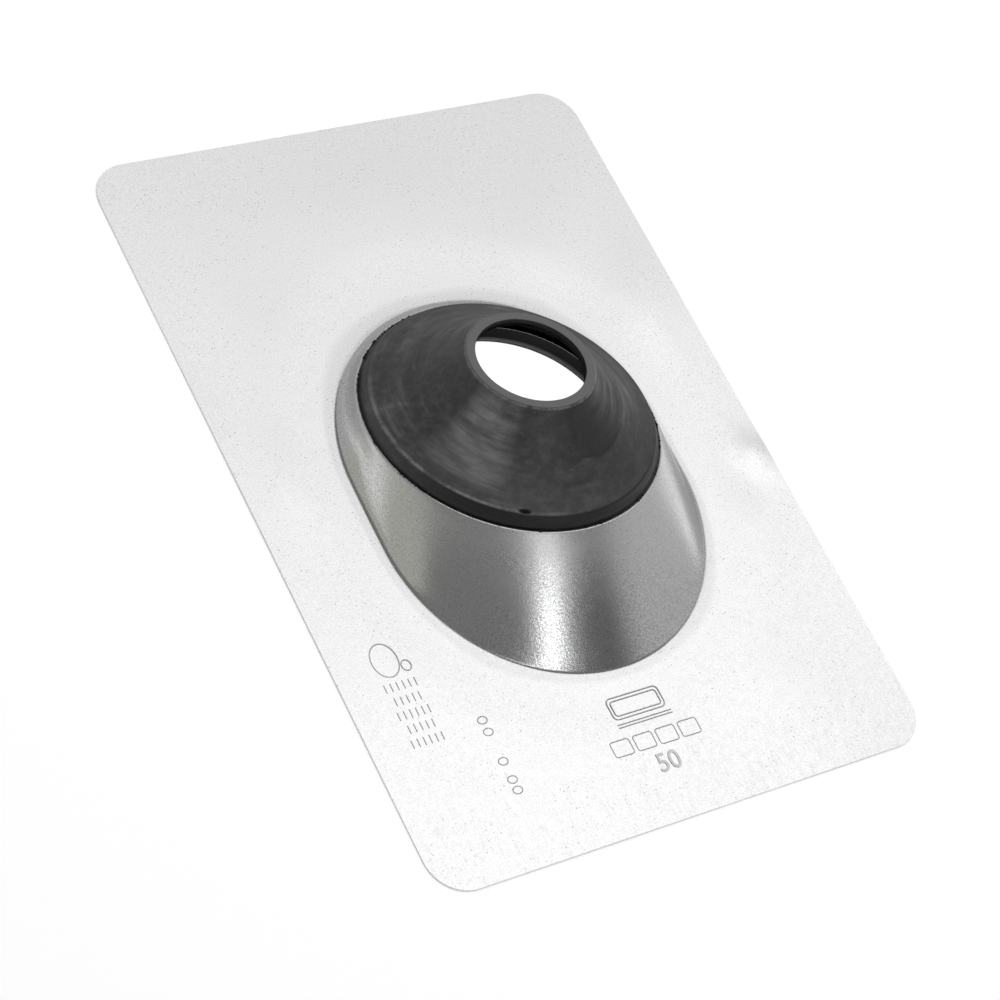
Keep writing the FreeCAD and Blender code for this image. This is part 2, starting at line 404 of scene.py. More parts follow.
def waveAt(x, y):
    # how far the plate stands over the floor there, beyond its own gauge
    height = sheet["lift"]
    for across, along, reachX, reachY, turn, rise in dents:
        dx, dy = x - across * mm, y - along * mm
        angle = math.radians(turn)
        u = (dx * math.cos(angle) + dy * math.sin(angle)) / (reachX * mm)
        v = (dy * math.cos(angle) - dx * math.sin(angle)) / (reachY * mm)
        height += rise * mm * math.exp(-u * u - v * v)
    sizeX, sizeY = sheet["unevenSize"]
    height += sheet["unevenness"] * noise.noise(Vector((x * sizeX, y * sizeY, 0.3)))
    return max(height, 0)


def bossOutline():
    # (place on the foot, outward direction, angle on the shelf) all the way round
    places = []
    limit = math.asin(sheet["shelfSide"] / boot["shelfRadius"])
    half, side = sheet["halfAround"], sheet["alongSide"]
    radius, front, back = boot["bossRadius"], boot["bossFront"], boot["bossBack"]
    for centre, other, start in ((back, front, 0.0), (front, back, math.pi)):
        for step in range(half):
            share = step / half
            angle = start + share * math.pi
            out = Vector((math.cos(angle), math.sin(angle), 0))
            shelfAngle = start + limit + share * (math.pi - 2 * limit)
            places.append((Vector((0, centre, 0)) + out * radius, out, shelfAngle))
        out = Vector((-math.cos(start), 0, 0))
        for step in range(side):
            share = step / side
            y = centre + (other - centre) * share
            shelfAngle = start + math.pi - limit + share * 2 * limit
            places.append((Vector((out.x * radius, y, 0)), out, shelfAngle))
    return places


def toEdge(point, centre):
    # where a ray from the centre through the point meets the plate's rounded rectangle
    clear = sheet["edgeClear"]
    halfX, halfY = steelHigh.x - clear, steelHigh.y - clear
    corner = sheet["cornerRadius"]
    direction = (point - centre).normalized()
    near, far = 0.0, 2 * halfY
    for halving in range(40):
        middle = (near + far) / 2
        place = centre + direction * middle
        outX = max(abs(place.x) - (halfX - corner), 0)
        outY = max(abs(place.y) - (halfY - corner), 0)
        inside = math.hypot(outX, outY) < corner
        near, far = (middle, far) if inside else (near, middle)
    return centre + direction * near


def bend(first, corner, last, radius, steps):
    # points of the arc that rounds a corner between two neighbours
    a = (first - corner).normalized()
    b = (last - corner).normalized()
    half = a.angle(b) / 2
    tangent = radius / math.tan(half)
    middle = corner + (a + b).normalized() * (radius / math.sin(half))
    start = corner + a * tangent - middle
    end = corner + b * tangent - middle
    return [middle + start.slerp(end, step / steps) * radius for step in range(steps + 1)]


def plateLine(edge, foot):
    # points of the plate from its edge up to the boss, lifted by the waves
    line = []
    for step in range(sheet["plateRings"]):
        place = edge.lerp(foot, step / sheet["plateRings"])
        fade = min((place - foot).length / sheet["fadeReach"], 1.0)
        place.z += waveAt(place.x, place.y) * fade * fade * (3 - 2 * fade)
        line.append(place)
    return line


def sheetSection(foot, out, shelfAngle, centre):
    # one line of the sheet's upper face, from the plate's edge in to the neck's rim
    def aroundShelf(reach, height):
        return onShelf(reach * math.cos(shelfAngle), reach * math.sin(shelfAngle), height)

    gauge = Vector((0, 0, boot["gauge"]))
    corner = foot + gauge
    shoulder = aroundShelf(boot["shelfRadius"], 0)
    neckFoot = sheet["neckWall"] + sheet["neckBend"]
    inner = aroundShelf(neckFoot, 0)
    footArc = bend(corner + out * 0.01, corner, shoulder, sheet["footBend"], sheet["bendSteps"])
    rimArc = bend(corner, shoulder, inner, sheet["shelfBend"], sheet["bendSteps"])
    line = plateLine(toEdge(foot, centre) + gauge, footArc[0]) + footArc
    for step in range(1, sheet["wallRings"]):
        line.append(footArc[-1].lerp(rimArc[0], step / sheet["wallRings"]))
    line += rimArc
    for step in range(1, sheet["shelfRings"]):
        line.append(rimArc[-1].lerp(inner, step / sheet["shelfRings"]))
    for step in range(sheet["neckSteps"] + 1):
        angle = step / sheet["neckSteps"] * math.pi / 2
        reach = neckFoot - sheet["neckBend"] * math.sin(angle)
        line.append(aroundShelf(reach, sheet["neckBend"] * (1 - math.cos(angle))))
    return line + [aroundShelf(sheet["neckWall"], height) for height in sheet["neckRings"]]


def paintedShadeAt(step, first, last):
    # how much painted shade darkens the sheet: some in the foot's bend, more at the shelf's and in
    # the neck
    if first - 1 <= step <= first + 3:
        return sheet["footShade"]
    if last - 2 <= step <= last + 1:
        return sheet["shelfShade"]
    neckWall = last + sheet["shelfRings"] + sheet["neckSteps"]
    return sheet["neckShade"] if neckWall <= step <= neckWall + 3 else 0.0


def paintSheet(mesh, deep):
    # what the material reads at each point: on the wall, crinkled, worn, and how much painted shade
    # it has
    labels = ("wall", "crinkle", "worn", "paintedShade")
    for label in labels:
        mesh.attributes.new(label, "FLOAT", "POINT")
    wall, crinkle, worn, paintedShade = (mesh.attributes[label].data for label in labels)
    first = sheet["plateRings"]
    last = first + 2 * (sheet["bendSteps"] + 1) + sheet["wallRings"] - 1
    for index, vertex in enumerate(mesh.vertices):
        step = index % deep
        up = (step - first - sheet["bendSteps"]) / sheet["wallRings"]
        dulled = clamp((up - sheet["wornStart"]) / sheet["wornBlend"])
        front = clamp((sheet["crinkleStart"] - vertex.co.y) / sheet["crinkleBlend"])
        wall[index].value = clamp((step - first + 1) / 4)
        crinkle[index].value = front * max(1 - up, 0) if first < step < last else 0
        worn[index].value = dulled if step <= last else 0
        paintedShade[index].value = paintedShadeAt(step, first, last)


def makeFlashing():
    centre = Vector((0, (boot["bossFront"] + boot["bossBack"]) / 2, 0))
    lines = [sheetSection(foot, out, angle, centre) for foot, out, angle in bossOutline()]
    deep, count = len(lines[0]), len(lines)
    faces = []
    for index in range(count):
        here, beyond = index * deep, (index + 1) % count * deep
        for step in range(deep - 1):
            faces.append((here + step, beyond + step, beyond + step + 1, here + step + 1))
    mesh = bpy.data.meshes.new("sheetFace")
    mesh.from_pydata([place for line in lines for place in line], [], faces)
    paintSheet(mesh, deep)
    mesh.shade_smooth()
    mesh.materials.append(steel)
    piece = addObject("steelFlashing", mesh)
    solid = piece.modifiers.new("gauge", "SOLIDIFY")
    solid.thickness = boot["gauge"]
    solid.offset = -1
    solid.use_even_offset = True
    solidMesh = finishedMesh(piece, "steelFlashing")
    solidMesh.set_sharp_from_angle(angle=sheet["sharp"])
    piece.modifiers.clear()
    piece.data = solidMesh
    return piece


flashing = makeFlashing()
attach(flashing, "root")
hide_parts("steel_flashing")
print("steel flashing made")

# --- rubber ---

rubberLook = {
    "dark": (0.026, 0.0265, 0.027, 1),
    "worn": (0.085, 0.085, 0.087, 1),
    # pale colour of the real bloom, also used for the painted highlights on the shoulder, the lip's
    # edge and the front left
    "bloomAndSheen": (0.22, 0.22, 0.222, 1),
    # painted light on the lip's flat top, which faces up
    "lip": (0.105, 0.105, 0.107, 1),
    # painted shade on the band round the foot at the front, and on the skirt's right side
    "bandShade": (0.005, 0.005, 0.0055, 1),
    # black painted shade in the throat under the skirt
    "throatShade": (0.002, 0.002, 0.002, 1),
    # painted shade in the gate mark's pit
    "pitShade": (0.001, 0.001, 0.001, 1),
    "roughLow": 0.34,
    "roughHigh": 0.58,
    "hazeRough": 0.08,  # these two come on top
    "pitRough": 0.5,
    "shine": 0.5,
    "throatShine": 0.12,
    "grainSize": 1300.0,
    "grainCoarse": 0.6,
    "bloomSize": 52.0,
    "bloomCover": 0.5,
    "mottleSize": 260.0,
    "rings": 620.0,  # fine rings for each metre of radius
    "bands": 136.4,  # and wide ones
    "around": 1.6,  # how fast they change round the axis
    "smoothReach": 41.5 * mm,  # the skirt is smoother and darker inside this wavering edge
    "smoothWave": 9.0 * mm,
    "smoothCalm": 0.75,  # the share of the marks that is missing there
    "lipReach": 25.9 * mm,
    "lipHeight": 30.0 * mm,
    "bandReach": 57.4 * mm,
    "throatReach": 47.2 * mm,
    "throatSlope": 0.85,
    "upslope": math.radians(-150),  # headings round the axis, 0 at the front
    # heading of the painted highlight on the front left
    "paintedHighlight": math.radians(-57),
    # heading of the painted highlight along the shoulder
    "shoulderHighlight": math.radians(-64),
    "shaded": math.radians(62),
    "bandFront": math.radians(8),
    "hazeStrength": 0.42,
    "lineStrength": 0.35,
    "highlightStrength": 1.8,
    "highlightReach": (55 * mm, 47 * mm),  # radii where it begins and is full
    "shadeStrength": 0.85,
    "lipEdgeStrength": 0.5,
    "pit": (56.3 * mm, 5.2 * mm, math.radians(-27)),  # the moulding's gate mark: out, up, heading
    "pitShape": (0.34, 0.85, 0.9),
    "ringBump": 1.6,
    "bump": 0.26,
    "bumpDistance": 0.12 * mm,
}


def polar(tree, outward, radius, rings):
    # a place for noise that is drawn out round the axis
    x, y = parted(tree, vectorNode(tree, "SCALE", outward, rubberLook["around"]))[:2]
    return joined(tree, x, y, times(tree, radius, rings))


def facing(tree, outward, heading, low, high):
    # 1 on the side of the axis that lies towards a heading (0 at the front), 0 away from it
    towards = (math.sin(heading), -math.cos(heading), 0)
    return ramp(tree, vectorNode(tree, "DOT_PRODUCT", outward, towards), low, high)


def ringMask(tree, radius, centre, halfWidth):
    # 1 on a thin ring at a radius, 0 beyond the half width
    off = mathNode(tree, "ABSOLUTE", mathNode(tree, "SUBTRACT", radius, centre))
    return ramp(tree, off, halfWidth, 0.1 * mm)


def flowMarks(tree, look, place, outward, radius, rings):
    # the skirt's colour with its streaks, haze and painted highlight, the haze with that painted
    # highlight in it, and where it is smooth
    bands = noiseNode(tree, polar(tree, outward, radius, look["bands"]), 1.3, 3.0, 0.6)
    # patches of real bloom
    bloomAndSheen = useGroup(tree, dustGroup, {
        "Vector": place, "Patch Size": look["bloomSize"], "Cover": look["bloomCover"],
    })["Mask"]
    # a wavering edge that the flow of the rubber left, with a thin pale line on it
    sway = noiseNode(tree, outward, 1.9, 3.0, 0.55)
    edge = mixIn(tree, sway, look["smoothWave"], radius)
    middle = look["smoothReach"] + look["smoothWave"] / 2
    smooth = ramp(tree, edge, middle + 0.5 * mm, middle - 0.5 * mm)
    paleLine = times(tree, ringMask(tree, edge, middle + 0.5 * mm, 0.8 * mm), bloomAndSheen)
    # the marks are strongest on the upslope side and weak where the skirt is smooth
    calm = mixIn(tree, smooth, -look["smoothCalm"], 1.0)
    upslope = facing(tree, outward, look["upslope"], -0.1, 0.8)
    lively = times(tree, calm, mixIn(tree, upslope, 0.6, 0.45))
    streaks = times(tree, ramp(tree, rings, 0.40, 0.74), ramp(tree, bands, 0.36, 0.66), lively)
    colour = blendColour(tree, streaks, look["dark"], look["worn"])
    haze = times(tree, bloomAndSheen, ramp(tree, bands, 0.42, 0.72), lively)
    # and paler in a painted highlight towards the front left
    paintedHighlight = times(tree, facing(tree, outward, look["paintedHighlight"], 0.91, 1.0),
                   ramp(tree, bands, 0.26, 0.70, 0.15), ramp(tree, rings, 0.30, 0.66, 0.45),
                   ramp(tree, radius, *look["highlightReach"]), look["highlightStrength"])
    # the haze carries the painted highlight too, in colour and in roughness
    haze = mathNode(tree, "MAXIMUM", haze, paintedHighlight)
    pale = mathNode(tree, "MAXIMUM", times(tree, haze, look["hazeStrength"]),
                    times(tree, paleLine, look["lineStrength"]))
    return blendColour(tree, pale, colour, look["bloomAndSheen"]), haze, smooth


def edgeMarks(tree, look, outward, radius, mottle, smooth, colour):
    # the colour with its mottling, a painted highlight along its shoulder, its painted shade and a
    # painted highlight on its rim
    colour = blendColour(tree, ramp(tree, mottle, 0.40, 0.66, 0.0, 0.30), colour, look["worn"])
    shoulderHighlight = times(tree, ringMask(tree, radius, look["bandReach"] - 0.5 * mm, 1.2 * mm),
                  facing(tree, outward, look["shoulderHighlight"], 0.35, 1.0),
                  ramp(tree, mottle, 0.35, 0.60, 0.10, 0.50))
    colour = blendColour(tree, shoulderHighlight, colour, look["bloomAndSheen"])
    # painted shade makes the right side darkest, above all where it is smooth, and a painted
    # highlight gives the lip a pale outer edge
    shade = times(tree, facing(tree, outward, look["shaded"], 0.1, 0.9),
                  mathNode(tree, "MAXIMUM", smooth, 0.38), look["shadeStrength"])
    colour = blendColour(tree, shade, colour, look["bandShade"])
    # painted highlight along the lip's outer edge
    lipEdgeHighlight = times(tree, ringMask(tree, radius, look["lipReach"] + 0.1 * mm, 0.45 * mm),
                ramp(tree, mottle, 0.3, 0.6), look["lipEdgeStrength"])
    return blendColour(tree, lipEdgeHighlight, colour, look["bloomAndSheen"])


def gateMark(tree, look, local):
    # a small flat oval near the foot of the skirt
    out, up, turn = look["pit"]
    near = stretch(tree, local, shift=(-out * math.sin(turn), out * math.cos(turn), -up))
    near = stretch(tree, near, turn=(0, 0, -turn))
    reach = vectorNode(tree, "LENGTH", stretch(tree, near, look["pitShape"]))
    return ramp(tree, reach, 1.15 * mm, 0.55 * mm)


def makeRubber(name, look):
    material, tree, shader = newMaterial(name)
    place = objectPlace(tree)
    # the same place in the collar's own upright axes
    moved = stretch(tree, place, shift=(0, -boot["shelfY"], -boot["shelfZ"]))
    local = stretch(tree, moved, turn=(boot["tilt"], 0, 0))
    across, along, up = parted(tree, local)
    flat = joined(tree, across, along, 0.0)
    radius = vectorNode(tree, "LENGTH", flat)
    outward = vectorNode(tree, "NORMALIZE", flat)
    rings = noiseNode(tree, polar(tree, outward, radius, look["rings"]), 1.0, 4.0, 0.65)
    mottle = noiseNode(tree, local, look["mottleSize"], 4.0, 0.7)
    colour, haze, smooth = flowMarks(tree, look, place, outward, radius, rings)
    colour = edgeMarks(tree, look, outward, radius, mottle, smooth, colour)
    # painted light makes the lip's flat top, which faces up, paler; painted shade makes the band
    # round the foot darker at the front
    lip = times(tree, ramp(tree, radius, look["lipReach"], look["lipReach"] - 0.4 * mm),
                ramp(tree, up, look["lipHeight"], look["lipHeight"] + 0.4 * mm))
    colour = blendColour(tree, lip, colour, look["lip"])
    bandShade = ramp(tree, radius, look["bandReach"] - 0.7 * mm, look["bandReach"] + 0.3 * mm)
    bandShade = times(tree, bandShade, facing(tree, outward, look["bandFront"], -0.15, 0.6))
    colour = blendColour(tree, bandShade, colour, look["bandShade"])
    # painted shade makes the throat under the skirt black, and it is dull: it lies inside this
    # sloping line
    slope = mixIn(tree, radius, look["throatSlope"], up)
    throatShade = ramp(tree, slope, look["throatReach"] + 0.4 * mm, look["throatReach"] - 0.4 * mm)
    colour = blendColour(tree, throatShade, colour, look["throatShade"])
    pit = gateMark(tree, look, local)
    rough = ramp(tree, rings, 0.3, 0.7, look["roughLow"], look["roughHigh"])
    rough = mixIn(tree, haze, look["hazeRough"], rough)
    grain = useGroup(tree, grainGroup, {
        "Vector": place, "Size": look["grainSize"], "Coarse": look["grainCoarse"],
    })
    height = mixIn(tree, rings, look["ringBump"], grain["Height"])
    # painted shade darkens the gate mark's pit, which is also rougher
    feed(tree, shader, {
        "Base Color": blendColour(tree, pit, colour, look["pitShade"]),
        "Specular IOR Level": mixIn(tree, throatShade, look["throatShine"] - look["shine"], look["shine"]),
        "Roughness": mixIn(tree, pit, look["pitRough"], rough),
        "Normal": bumped(tree, height, look["bump"], look["bumpDistance"]),
    })
    return material


rubber = makeRubber("mouldedRubber", rubberLook)
print("rubber material made")

# --- rubber collar: one section turned about the shelf's axis ---

collar = {
    "hub": 40.65 * mm,
    "hubBend": 1.5 * mm,
    "hubTop": 7.5 * mm,
    "footOuter": 60.4 * mm,
    "footEdge": 0.3 * mm,
    "shoulder": (57.8 * mm, 4.6 * mm),
    "shoulderBend": 1.2 * mm,
    "skirtArc": 72.0 * mm,
    "skirtSteps": 64,
    "lipOuter": (25.5 * mm, 30.53 * mm),  # the ripple comes on top of this height
    "lipBend": 0.6 * mm,
    "pipeHole": 22.0 * mm,
    "holeBend": 0.25 * mm,
    "pipeLand": 3.6 * mm,
    "throatFoot": (41.55 * mm, 9.5 * mm),
    "throatSteps": 12,
    "segments": 720,
    "pitDepth": 0.7 * mm,
    "pitHeight": 0.9 * mm,
    "pitWidth": 2.16 * mm,
    "ripple": 0.10 * mm,
    "rippleSize": 55.0,
    "seed": 7.0,
}


def arcPoints(start, end, radius, steps):
    # points between two places of the section, on an arc that bows to the axis's side
    chord = end - start
    depth = math.sqrt(radius ** 2 - (chord.length / 2) ** 2)
    side = Vector((chord.z, 0, -chord.x)).normalized()
    middle = (start + end) / 2 + side * depth
    a, b = start - middle, end - middle
    return [middle + a.slerp(b, step / steps) * radius for step in range(steps + 1)]


def collarSection():
    # closed outline of the moulding, across in X and up in Z, walked outside first
    def at(reach, height):
        return Vector((reach, 0, height))

    shoulder, lip = at(*collar["shoulder"]), at(*collar["lipOuter"])
    foot, throatFoot = at(collar["footOuter"], 0), at(*collar["throatFoot"])
    hole, top, steps = collar["pipeHole"], lip.z, collar["throatSteps"]
    landFoot = at(hole, top - collar["pipeLand"])
    skirt = arcPoints(shoulder, lip, collar["skirtArc"], collar["skirtSteps"])
    line = [at(collar["hub"] + collar["hubBend"], 0), foot - at(collar["footEdge"], 0),
            foot + at(0, collar["footEdge"]), foot.lerp(shoulder, 0.45)]
    line += bend(foot, shoulder, skirt[1], collar["shoulderBend"], 6)
    line += skirt[3:-1]
    line += bend(skirt[-2], lip, at(hole, top), collar["lipBend"], 5)
    line += [at(hole + 2.2 * mm, top), at(hole + 1.1 * mm, top)]
    line += bend(at(hole + 1 * mm, top), at(hole, top), at(hole, top - 1 * mm), collar["holeBend"], 3)
    line += [at(hole, top - 2 * mm)]
    line += [landFoot.lerp(throatFoot, step / steps) for step in range(steps + 1)]
    return line + [at(collar["hub"], collar["hubTop"]), at(collar["hub"], collar["hubBend"])]


def newTree(name, inputs):
    # a geometry tree, and what comes into it: a geometry, the inputs and a material
    tree = bpy.data.node_groups.new(name, "GeometryNodeTree")
    addSockets(tree, "OUTPUT", {"Geometry": "Geometry"})
    addSockets(tree, "INPUT", {"Geometry": "Geometry", **inputs, "Material": "Material"})
    return tree, addNode(tree, "NodeGroupInput")


def endTree(tree, geometry, material, smooth=True):
    # real geometry with its material on, out of the tree
    if smooth:
        geometry = addNode(tree, "GeometryNodeSetShadeSmooth", {"Geometry": geometry})[0]
    real = addNode(tree, "GeometryNodeRealizeInstances", {"Geometry": geometry})[0]
    painted = addNode(tree, "GeometryNodeSetMaterial", {"Geometry": real, "Material": material})[0]
    feed(tree, tree.nodes.new("NodeGroupOutput"), {"Geometry": painted})
    return tree


def moveBy(tree, geometry, offset):
    return addNode(tree, "GeometryNodeSetPosition", {"Geometry": geometry, "Offset": offset})[0]


def sweep(tree, path, profile, caps):
    return addNode(tree, "GeometryNodeCurveToMesh", {
        "Curve": path, "Profile Curve": profile, "Fill Caps": caps,
    })["Mesh"]


def circlePath(tree, radius, count):
    return addNode(tree, "GeometryNodeCurvePrimitiveCircle", {
        "Radius": radius, "Resolution": count,
    }, mode="RADIUS")["Curve"]


def meshPath(tree, geometry):
    return addNode(tree, "GeometryNodeMeshToCurve", {"Mesh": geometry})["Curve"]


def makeSpinTree():
    # turns the object's own section into a closed ring and works a slight ripple into it
    tree, given = newTree("sectionSpin", {
        "Segments": 64, "Ripple": 0.0, "Ripple Size": 50.0, "Seed": 0.0,
    })
    path = circlePath(tree, 1.0, given["Segments"])
    ring = sweep(tree, path, meshPath(tree, given["Geometry"]), False)
    wave = addNode(tree, "ShaderNodeTexNoise", {
        "Scale": given["Ripple Size"], "W": given["Seed"],
    }, noise_dimensions="4D")
    centred = vectorNode(tree, "SUBTRACT", wave["Color"], (0.5, 0.5, 0.5))
    offset = vectorNode(tree, "SCALE", centred, given["Ripple"])
    return endTree(tree, moveBy(tree, ring, offset), given["Material"])


def runTree(source, tree, values, name):
    # the tree's result on a source mesh, as a plain mesh object of its own
    holder = addObject(source.name, source)
    modifier = holder.modifiers.new(tree.name, "NODES")
    modifier.node_group = tree
    sockets = {item.name: item.identifier for item in tree.interface.items_tree
               if item.in_out == "INPUT"}
    for label, value in values.items():
        modifier[sockets[label]] = value
    mesh = finishedMesh(holder, name)
    holder.modifiers.remove(modifier)
    bpy.data.objects.remove(holder)
    return addObject(name, mesh)


def placeOnShelf(mesh):
    # from the collar's own upright axes to the frame's
    for vertex in mesh.vertices:
        vertex.co = onShelf(vertex.co.x, vertex.co.y, vertex.co.z)


def sectionMesh(name, line, radius):
    # a closed line in the plane that Curve to Mesh sweeps, measured from the path's radius
    mesh = bpy.data.meshes.new(name)
    points = [(place.x - radius, -place.z, 0) for place in reversed(line)]
    edges = [(index, (index + 1) % len(points)) for index in range(len(points))]
    mesh.from_pydata(points, edges, [])
    return mesh


def sinkPit(mesh):
    # the gate mark, a small pit near the foot of the skirt at the front
    out, up, turn = rubberLook["pit"]
    centre = Vector((out * math.sin(turn), -out * math.cos(turn), up))
    side = Vector((math.cos(turn), math.sin(turn), 0))
    for vertex in mesh.vertices:
        gap = vertex.co - centre
        across = gap.dot(side)
        wide = across / collar["pitWidth"]
        high = (gap - side * across).length / collar["pitHeight"]
        vertex.co.z -= collar["pitDepth"] * math.exp(-wide ** 2 - high ** 2)


collarPiece = runTree(sectionMesh("collarSection", collarSection(), 1.0), makeSpinTree(), {
    "Segments": collar["segments"],
    "Ripple": collar["ripple"],
    "Ripple Size": collar["rippleSize"],
    "Seed": collar["seed"],
    "Material": rubber,
}, "rubberCollar")
sinkPit(collarPiece.data)
placeOnShelf(collarPiece.data)
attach(collarPiece, "root")
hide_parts("rubber_collar")
print("rubber collar made")

# --- ragged flash where the rubber meets the steel ---

flash = {
    "radius": 60.75 * mm,
    "count": 700,
    "smallest": 0.12 * mm,
    "largest": 0.85 * mm,
    "scatter": 0.20 * mm,
    "patchSize": 130.0,
    "seed": 4,
    "height": 0.05 * mm,  # over the shelf
    "thinShare": 0.25,  # of a lump's size, where the ring is nearly clean
    "loose": ((-1, -1, -0.3), (1, 1, 0.3)),  # each lump's place, shape and turn, from and to
    "shape": ((0.5, 0.5, 0.3), (1.4, 1.0, 0.7)),
    "turn": ((0, 0, 0), (0.6, 0.6, 2 * math.pi)),
    "dark": (0.003, 0.003, 0.003, 1),
    "worn": (0.012, 0.012, 0.012, 1),
    # the flash's pale colour, for its bloom and its painted highlights
    "bloomAndSheen": (0.02, 0.02, 0.02, 1),
}


def randomValue(tree, kind, low, high, seed):
    # a random number or vector for each point, between two sockets or values
    first = 0 if kind == "FLOAT_VECTOR" else 2
    inputs = {first: low, first + 1: high, "Seed": seed}
    return addNode(tree, "FunctionNodeRandomValue", inputs, data_type=kind)[first // 2]


def makeFlashTree():
    # small lumps set round a circle, each with its own size, turn and place
    tree, given = newTree("raggedFlash", {
        "Radius": 0.06, "Count": 100, "Smallest": 0.0001, "Largest": 0.0005,
        "Scatter": 0.0002, "Patch Size": 100.0, "Seed": 0,
    })
    seed = given["Seed"]
    path = circlePath(tree, given["Radius"], given["Count"])
    spread = randomValue(tree, "FLOAT_VECTOR", *flash["loose"], seed)
    loose = moveBy(tree, path, vectorNode(tree, "SCALE", spread, given["Scatter"]))
    # long stretches are nearly clean and others are thick with it
    patches = addNode(tree, "ShaderNodeTexNoise", {"Scale": given["Patch Size"]})["Fac"]
    thick = ramp(tree, patches, 0.36, 0.64, flash["thinShare"])
    size = randomValue(tree, "FLOAT", given["Smallest"], given["Largest"], seed)
    shape = randomValue(tree, "FLOAT_VECTOR", *flash["shape"], seed)
    lumps = addNode(tree, "GeometryNodeInstanceOnPoints", {
        "Points": loose,
        "Instance": given["Geometry"],
        "Rotation": randomValue(tree, "FLOAT_VECTOR", *flash["turn"], seed),
        "Scale": vectorNode(tree, "SCALE", shape, times(tree, size, thick)),
    })
    return endTree(tree, lumps["Instances"], given["Material"], smooth=False)


def lumpMesh():
    # one faceted lump of unit size
    mesh = bpy.data.meshes.new("flashLump")
    shape = bmesh.new()
    bmesh.ops.create_icosphere(shape, subdivisions=1, radius=1.0)
    shape.to_mesh(mesh)
    shape.free()
    return mesh


flashLook = dict(rubberLook, dark=flash["dark"], worn=flash["worn"], bloomAndSheen=flash["bloomAndSheen"])
flashPiece = runTree(lumpMesh(), makeFlashTree(), {
    "Radius": flash["radius"],
    "Count": flash["count"],
    "Smallest": flash["smallest"],
    "Largest": flash["largest"],
    "Scatter": flash["scatter"],
    "Patch Size": flash["patchSize"],
    "Seed": flash["seed"],
    "Material": makeRubber("flashRubber", flashLook),
}, "flashRing")
for vertex in flashPiece.data.vertices:
    vertex.co.z += flash["height"]
placeOnShelf(flashPiece.data)
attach(flashPiece, "root")
print("flash ring made")

# --- plain marks pressed into the lower part of the plate ---

marks = {
    "lineRadius": 0.25 * mm,
    "lineHeight": 0.55,  # of the radius
    "step": 1.2 * mm,  # between points, so that a line follows the sheet's waves
    "sizeText": "50",  # nominal pipe bore in millimetres
    "sizePlace": (-1 * mm, -139 * mm),
    "textSize": 10.8 * mm,
    "textRise": 0.16 * mm,
    "textBevel": 0.06 * mm,
    "colour": (0.68, 0.685, 0.68, 1),
    "rough": 0.36,
}


def oval(x, y, halfX, halfY, count=20):
    angles = [step * 2 * math.pi / count for step in range(count)]
    return [(x + halfX * math.cos(angle), y + halfY * math.sin(angle)) for angle in angles]


def strokes(x, y, count, spacing, height):
    # a row of plain upright strokes
    low, high = y - height / 2, y + height / 2
    return [[(x + step * spacing, low), (x + step * spacing, high)] for step in range(count)]


def frameLine(x, y, halfX, halfY, corner):
    # a plain frame with rounded corners
    points = []
    for quarter, (signX, signY) in enumerate(((1, 1), (-1, 1), (-1, -1), (1, -1))):
        for step in range(5):
            angle = (quarter + step / 4) * math.pi / 2
            points.append((x + signX * (halfX - corner) + corner * math.cos(angle),
                           y + signY * (halfY - corner) + corner * math.sin(angle)))
    return points


def markLines():
    # closed and open lines on the plate, in millimetres
    closed = [frameLine(-2, -113, 12, 4.5, 2.0), frameLine(-2, -113, 10.6, 3.1, 1.2)]
    closed += [oval(-66, y, 2.0, 1.5) for y in (-102, -107, -119.5, -127.2, -131.6)]
    closed += [oval(-92, -69, 5.5, 7.0, 32), oval(-84.5, -73, 2.0, 2.2)]
    closed += [frameLine(x, -128.5, 4.3, 3.2, 1.0) for x in (-17, -6.5, 4, 14.5)]
    opened = [[(-14, y), (11, y)] for y in (-119.6, -120.8)]
    for row in range(5):
        odd = row % 2
        opened += strokes(-97 + odd * 1.5, -80 - row * 5.8, 6 - odd, 2.6, 3.4)
    return closed, opened


def plateTop(x, y):
    return boot["gauge"] + waveAt(x, y)


def markMesh(closed, opened):
    # every line as a chain of edges that lies on the sheet
    vertices, edges = [], []
    for line, loops in [(line, True) for line in closed] + [(line, False) for line in opened]:
        points = [Vector((x * mm, y * mm)) for x, y in line]
        if loops:
            points.append(points[0])
        chain = [points[0]]
        for first, second in zip(points, points[1:]):
            count = max(1, math.ceil((second - first).length / marks["step"]))
            chain += [first.lerp(second, step / count) for step in range(1, count + 1)]
        if loops:
            chain.pop()
        base = len(vertices)
        vertices += [(place.x, place.y, plateTop(place.x, place.y)) for place in chain]
        edges += [(base + step, base + step + 1) for step in range(len(chain) - 1)]
        if loops:
            edges.append((base + len(chain) - 1, base))
    mesh = bpy.data.meshes.new("markLines")
    mesh.from_pydata(vertices, edges, [])
    return mesh


def makeLineTree():
    # a low rounded ridge along each line of the object
    tree, given = newTree("pressedLine", {"Radius": 0.0003, "Height": 0.5})
    upright = addNode(tree, "GeometryNodeSetCurveNormal", {
        "Curve": meshPath(tree, given["Geometry"]),
    }, mode="Z_UP")["Curve"]
    low = addNode(tree, "GeometryNodeTransform", {
        "Geometry": circlePath(tree, given["Radius"], 8),
        "Scale": joined(tree, 1.0, given["Height"], 1.0),
    })["Geometry"]
    return endTree(tree, sweep(tree, upright, low, True), given["Material"])


